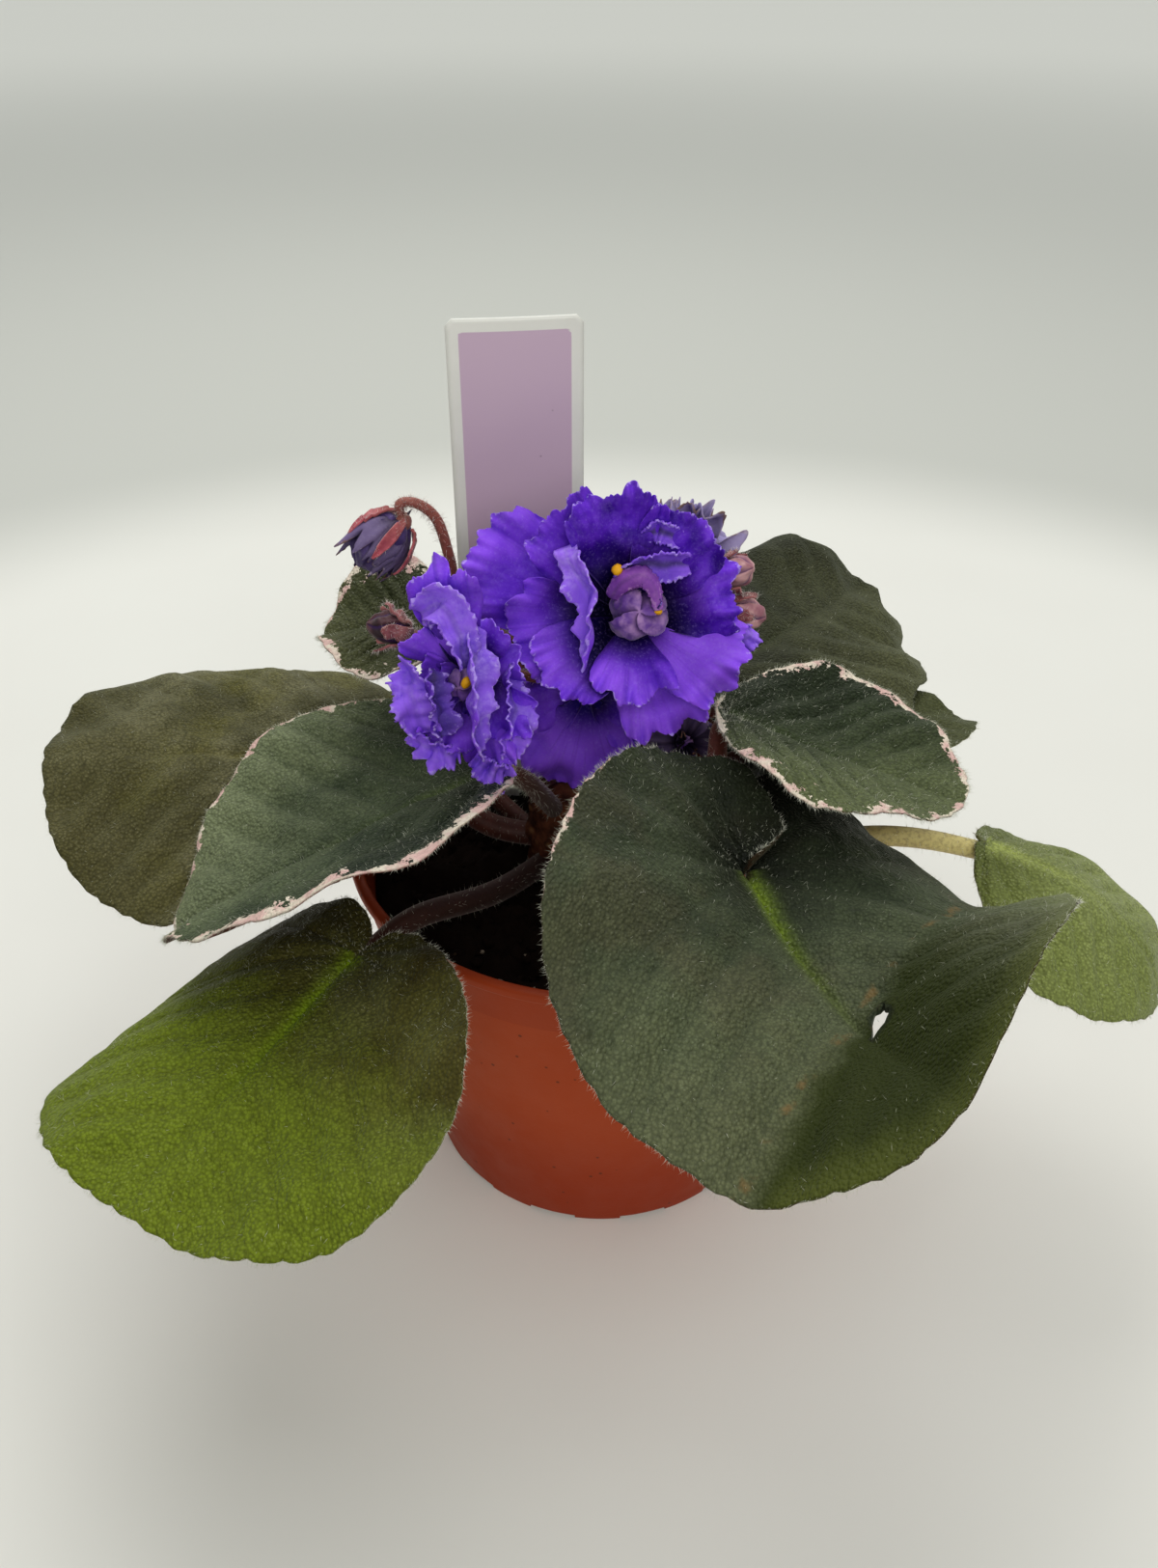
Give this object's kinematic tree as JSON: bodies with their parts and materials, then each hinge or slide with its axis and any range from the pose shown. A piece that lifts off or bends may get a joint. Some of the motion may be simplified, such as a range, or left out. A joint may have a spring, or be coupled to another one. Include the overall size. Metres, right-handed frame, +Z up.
{
  "type": "potted african violet",
  "caption": "African violet in a round plastic nursery pot: broad hairy leaves on long stalks, ruffled double violet blooms, buds and a tall plain plant label.",
  "frame": {"origin": "centre of the pot's flat underside", "axes": "+Z up the pot's axis; the side that the picture shows faces -Y; the tall label stands behind the blooms, towards +Y"},
  "size_m": [0.2287, 0.1948, 0.1705],
  "materials": {
    "pot": "matte",
    "soil": "matte",
    "crown": "matte",
    "label": "satin",
    "stalk": "matte",
    "leaf_dark": "matte",
    "leaf_green": "matte",
    "leaf_olive": "matte",
    "petal": "matte",
    "petal_faded": "matte",
    "bud": "matte"
  },
  "bodies": {
    "root": {"pot": "pot", "soil": "soil", "crown": "crown", "label": "label", "flower_stalk": "stalk", "leaf_front_right": "leaf_dark", "leaf_front_left": "leaf_green", "leaf_left_mid": "leaf_dark", "leaf_left_back": "leaf_olive", "leaf_back_left_inner": "leaf_dark", "leaf_right_mid": "leaf_dark", "leaf_back_right": "leaf_olive", "leaf_right_far": "leaf_olive", "leaf_right_low": "leaf_green", "leaf_back": "leaf_olive", "leaf_back_left_low": "leaf_olive", "bloom_main": "petal", "bloom_left": "petal", "bloom_low": "petal", "bloom_back": "petal_faded", "bloom_faded": "petal_faded", "bud_hanging": "petal_faded", "bud_left": "bud", "bud_right_high": "bud", "bud_right_low": "bud"}
  },
  "joints": []
}
